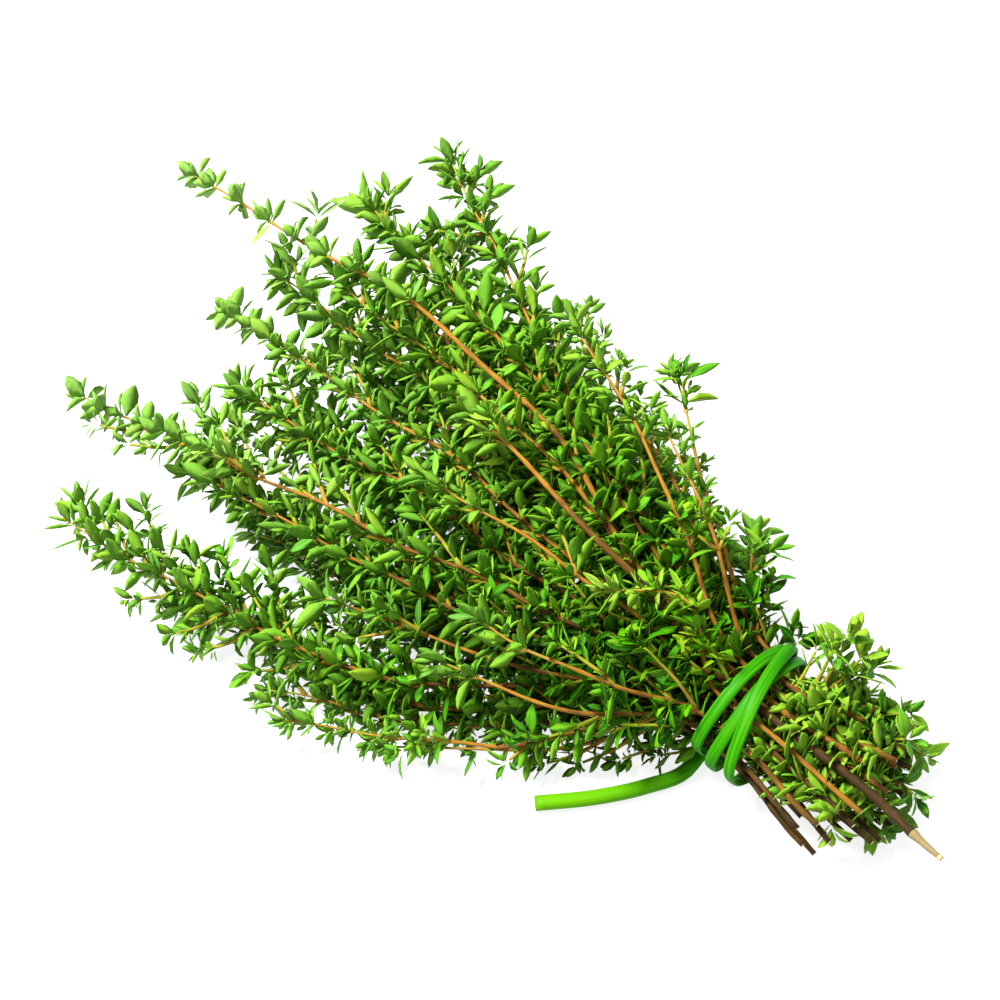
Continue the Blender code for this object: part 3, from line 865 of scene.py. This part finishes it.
def leaf_material():
    n = Nodes("thyme leaf", 0.5)
    n.shader.inputs["Specular IOR Level"].default_value = 0.04
    tone, pale = n.tint()[:2]
    _, u, v = n.uv("Leaf")
    mottle = n.noise(420, 3)
    tone = n.math("ADD", tone, n.math("MULTIPLY", n.math("SUBTRACT", mottle, 0.5), 0.35), True)
    green = n.ramp(tone, (
        (0.0, (0.003, 0.055, 0.0003)), (0.3, (0.014, 0.135, 0.0005)),
        (0.55, (0.052, 0.24, 0.0008)), (0.8, (0.13, 0.31, 0.003)), (1.0, (0.22, 0.37, 0.01)),
    ))
    across = n.math("ABSOLUTE", n.math("SUBTRACT", n.math("FRACT", u), 0.5))
    # The paler midrib and foot are the leaf's own colour; the lighter rolled edges are a painted
    # highlight, where they catch the light.
    rib = n.band(across, 0.015, 0.06, 0.5, 0.0)
    rim_painted_highlight = n.band(across, 0.38, 0.5, 0.0, 0.4)
    foot = n.band(v, 0.0, 0.2, 0.6, 0.0)
    light = n.math("MAXIMUM", n.math("MAXIMUM", rib, rim_painted_highlight), foot)
    green = n.blend(light, green, (0.2, 0.36, 0.006))
    green = n.blend(pale, green, (0.24, 0.43, 0.1))
    under = n.band(u, 1.4, 1.6, 0.0, 0.4)
    green = n.blend(under, green, (0.12, 0.25, 0.015))
    n.link(green, n.shader.inputs["Base Color"])
    n.bump(n.noise(2600, 2), 0.35, 0.12 * MM)
    return n.material


def bark_material():
    n = Nodes("thyme stem", 0.62)
    n.shader.inputs["Specular IOR Level"].default_value = 0.08
    # This channel holds the bark's age and, on the stems, painted shade near the tie.
    age_and_painted_shade = n.tint()[0]
    coords = n.uv("Bark")[0]
    stretch = n.add("ShaderNodeVectorMath", operation="MULTIPLY")
    n.link(coords, stretch.inputs[0])
    stretch.inputs[1].default_value = (9, 0.35, 1)
    streak = n.noise(1.0, 4, stretch.outputs[0])
    patch = n.noise(160, 2)
    shift = n.math("MULTIPLY", n.math("SUBTRACT", n.math("ADD", streak, patch), 1.0), 0.75)
    tone = n.math("ADD", age_and_painted_shade, shift, True)
    bark = n.ramp(tone, (
        (0.0, (0.2, 0.27, 0.01)), (0.2, (0.27, 0.175, 0.022)), (0.42, (0.27, 0.12, 0.012)),
        (0.7, (0.115, 0.053, 0.009)), (1.0, (0.034, 0.019, 0.005)),
    ))
    n.link(bark, n.shader.inputs["Base Color"])
    n.bump(streak, 0.5, 0.15 * MM)
    return n.material


def cut_material():
    n = Nodes("thyme cut wood", 0.7)
    _, u, v = n.uv("Bark")
    squares = [n.math("POWER", n.math("SUBTRACT", place, 0.5), 2) for place in (u, v)]
    wood = n.ramp(n.math("SQRT", n.math("ADD", *squares)), (
        (0.0, (0.42, 0.3, 0.12)), (0.12, (0.66, 0.55, 0.3)), (0.4, (0.6, 0.48, 0.24)),
        (0.5, (0.21, 0.16, 0.055)),
    ))
    n.link(wood, n.shader.inputs["Base Color"])
    n.bump(n.noise(3000, 2), 0.4, 0.1 * MM)
    return n.material


def tie_material(name, painted_light_over):
    """The tie's green. Over as many millimetres as the second argument gives, it turns brighter and
    yellower: painted light on the free end.
    """
    n = Nodes(name, 0.42)
    n.shader.inputs["Specular IOR Level"].default_value = 0.05
    coords, _, along = n.uv("Strand")
    stretch = n.add("ShaderNodeVectorMath", operation="MULTIPLY")
    n.link(coords, stretch.inputs[0])
    stretch.inputs[1].default_value = (14, 0.06, 1)
    line = n.noise(1.0, 3, stretch.outputs[0])
    green = n.ramp(line, (
        (0.3, (0.008, 0.12, 0.0007)), (0.5, (0.022, 0.19, 0.0007)), (0.7, (0.058, 0.26, 0.001)),
    ))
    # Painted light: a brighter, yellower green further along the strand.
    green = n.blend(n.band(along, 0.0, painted_light_over, 0.0, 0.9), green, (0.1, 0.31, 0.0007))
    n.link(green, n.shader.inputs["Base Color"])
    n.bump(line, 0.3, 0.12 * MM)
    return n.material


# ---------------------------------------------------------------- the tie


def band_places(step):
    """The middle of the winding at each step in degrees, and the direction off the stems."""
    turns = np.arange(BAND_COURSE[0][0], BAND_COURSE[-1][0] + 1, step)
    known = [turn for turn, _, _ in BAND_COURSE]
    soft = np.hanning(round(50 / step) + 2)
    soft /= soft.sum()

    def course(column):
        values = np.interp(turns, known, [row[column] for row in BAND_COURSE])
        edge = len(soft) // 2
        padded = np.pad(values, edge, mode="edge")
        return np.convolve(padded, soft, mode="same")[edge:-edge]

    places = []
    for turn, place, level in zip(np.radians(turns), course(1), course(2)):
        lift = BAND_LIFT + level * BAND_LAYER * MM - BAND_DIP * math.sin(2 * turn) ** 2
        y, z = HOLD_Y + lift, HOLD_Z + lift
        middle = WAIST + Vector((place * MM, y * math.sin(turn), -z * math.cos(turn)))
        outward = Vector((0, z * math.sin(turn), -y * math.cos(turn))).normalized()
        places.append((middle, outward))
    return places


def make_strand(name, middles, outwards, wide, thick, material):
    """A soft green strand along its middles: an oval with a shallow groove along its top."""
    sides = 16
    turns = np.arange(sides) / sides * 2 * math.pi
    dent = 1 - 0.16 * np.exp(-((turns - math.pi / 2) / 0.35) ** 2)
    points, length = [], [0.0]
    for i, (middle, outward) in enumerate(zip(middles, outwards)):
        ahead = (middles[min(i + 1, len(middles) - 1)] - middles[max(i - 1, 0)]).normalized()
        across = ahead.cross(outward).normalized()
        off = across.cross(ahead).normalized()
        for turn, share in zip(turns, dent):
            x, y = math.cos(turn) * wide / 2, math.sin(turn) * thick / 2 * share
            points.append(middle + across * x + off * y)
        if i:
            length.append(length[-1] + (middle - middles[i - 1]).length / MM)
    corners, sizes, shade = [], [], []
    for i in range(len(middles) - 1):
        for k in range(sides):
            for ring, side, across in quad(i, k, sides):
                corners.append(ring * sides + side)
                shade.append((across / sides, length[ring]))
            sizes.append(4)
    last = (len(middles) - 1) * sides
    for ring in (range(sides)[::-1], range(last, last + sides)):
        for k, at in enumerate(ring):
            corners.append(at)
            shade.append((k / sides, length[-1] * (at >= last)))
        sizes.append(sides)
    points = [tuple(p) for p in points]
    return make_mesh(name, points, corners, sizes, {"Strand": shade}, {}, [material])


# ---------------------------------------------------------------- light, floor and camera


def make_stage():
    floor_mesh = bpy.data.meshes.new("floor")
    far = 3.0
    spots = [(-far, -far, 0), (far, -far, 0), (far, far, 0), (-far, far, 0)]
    floor_mesh.from_pydata(spots, [], [(0, 1, 2, 3)])
    floor = bpy.data.objects.new("floor", floor_mesh)
    n = Nodes("white paper", 0.9)
    n.shader.inputs["Base Color"].default_value = (0.3, 0.3, 0.3, 1)
    n.shader.inputs["Emission Color"].default_value = (1, 1, 1, 1)
    n.shader.inputs["Emission Strength"].default_value = 0.8
    floor_mesh.materials.append(n.material)
    bpy.context.scene.collection.objects.link(floor)
    world = bpy.data.worlds.new("studio")
    world.use_nodes = True
    sky = world.node_tree.nodes["Background"]
    sky.inputs["Color"].default_value = (1, 1, 1, 1)
    sky.inputs["Strength"].default_value = 0.64
    bpy.context.scene.world = world


def make_light(name, place, target, size, power):
    data = bpy.data.lights.new(name, "AREA")
    data.size, data.energy = size, power
    light = bpy.data.objects.new(name, data)
    light.location = place
    light.rotation_euler = (target - place).to_track_quat("-Z", "Y").to_euler()
    bpy.context.scene.collection.objects.link(light)


def make_camera():
    """The camera. Returns its right, into and above directions and the point it looks at."""
    turn, drop = math.radians(44), math.radians(55)
    distance = 0.46
    right = Vector((math.cos(turn), math.sin(turn), 0))
    flat = math.cos(drop)
    into = Vector((-math.sin(turn) * flat, math.cos(turn) * flat, -math.sin(drop)))
    above = right.cross(into)
    target = Vector((WAIST.x, WAIST.y, 12 * MM)) - 50.1 * MM * right + 41.3 * MM * above
    data = bpy.data.cameras.new("camera")
    data.lens = 85
    data.clip_start = 0.01
    camera = bpy.data.objects.new("camera", data)
    camera.location = target - distance * into
    camera.rotation_euler = into.to_track_quat("-Z", "Y").to_euler()
    bpy.context.scene.collection.objects.link(camera)
    bpy.context.scene.camera = camera
    return right, into, above, target


def main():
    right, into, above, target = make_camera()
    make_stage()
    make_light("key", target - into * 0.5 + above * 0.5 - right * 0.35, target, 0.27, 20.5)
    bpy.context.scene.view_settings.view_transform = "Standard"

    tie = tie_material("green tie", BAND_PAINTED_LIGHT_OVER)
    tie_end = tie_material("green tie end", TAIL_PAINTED_LIGHT_OVER)
    places = band_places(BAND_STEP)[: -BAND_LEFT_OUT // BAND_STEP]
    centres, outwards = zip(*places)
    band = make_strand("tie_winding", centres, outwards, BAND_WIDE, BAND_THICK, tie)
    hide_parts("tie_band")
    under = Vector((WAIST.x, WAIST.y, 0))
    middles = smooth([under + Vector(p) * MM for p in (TAIL_START, *TAIL_POINTS)], 1.6 * MM)
    upwards = [Vector((0, 0, 1))] * len(middles)
    tail = make_strand("tie_free_end", middles, upwards, TAIL_THICK, TAIL_HIGH, tie_end)
    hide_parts("tie_tail")
    for piece in (band, tail):
        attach(piece, "root")

    leaf, bark, cut = leaf_material(), bark_material(), cut_material()
    for seed, (name, route) in enumerate(stem_routes().items()):
        layer = name.split("_")[0]
        look = LAYER_LOOKS[layer]._replace(**SPRIG_LOOKS.get(name, {}))
        plant = Plant(seed, look, BEHIND_LOW if layer in ("bottom", "low") else BEHIND)
        way = Way(wander(route, plant.rng))
        tie_at = next(d for d, p in zip(way.so_far, route) if p.x <= WAIST.x)
        grow(plant, way, tie_at, OFFSHOOTS.get(name, ()))
        stem = make_stem(name.replace("sprig", "stem"), plant.tubes, [bark, cut])
        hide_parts(name)
        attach(stem, "root")
        leaves = make_leaves(name.replace("sprig", "leaves"), plant.leaves, leaf)
        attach(leaves, "root")


main()
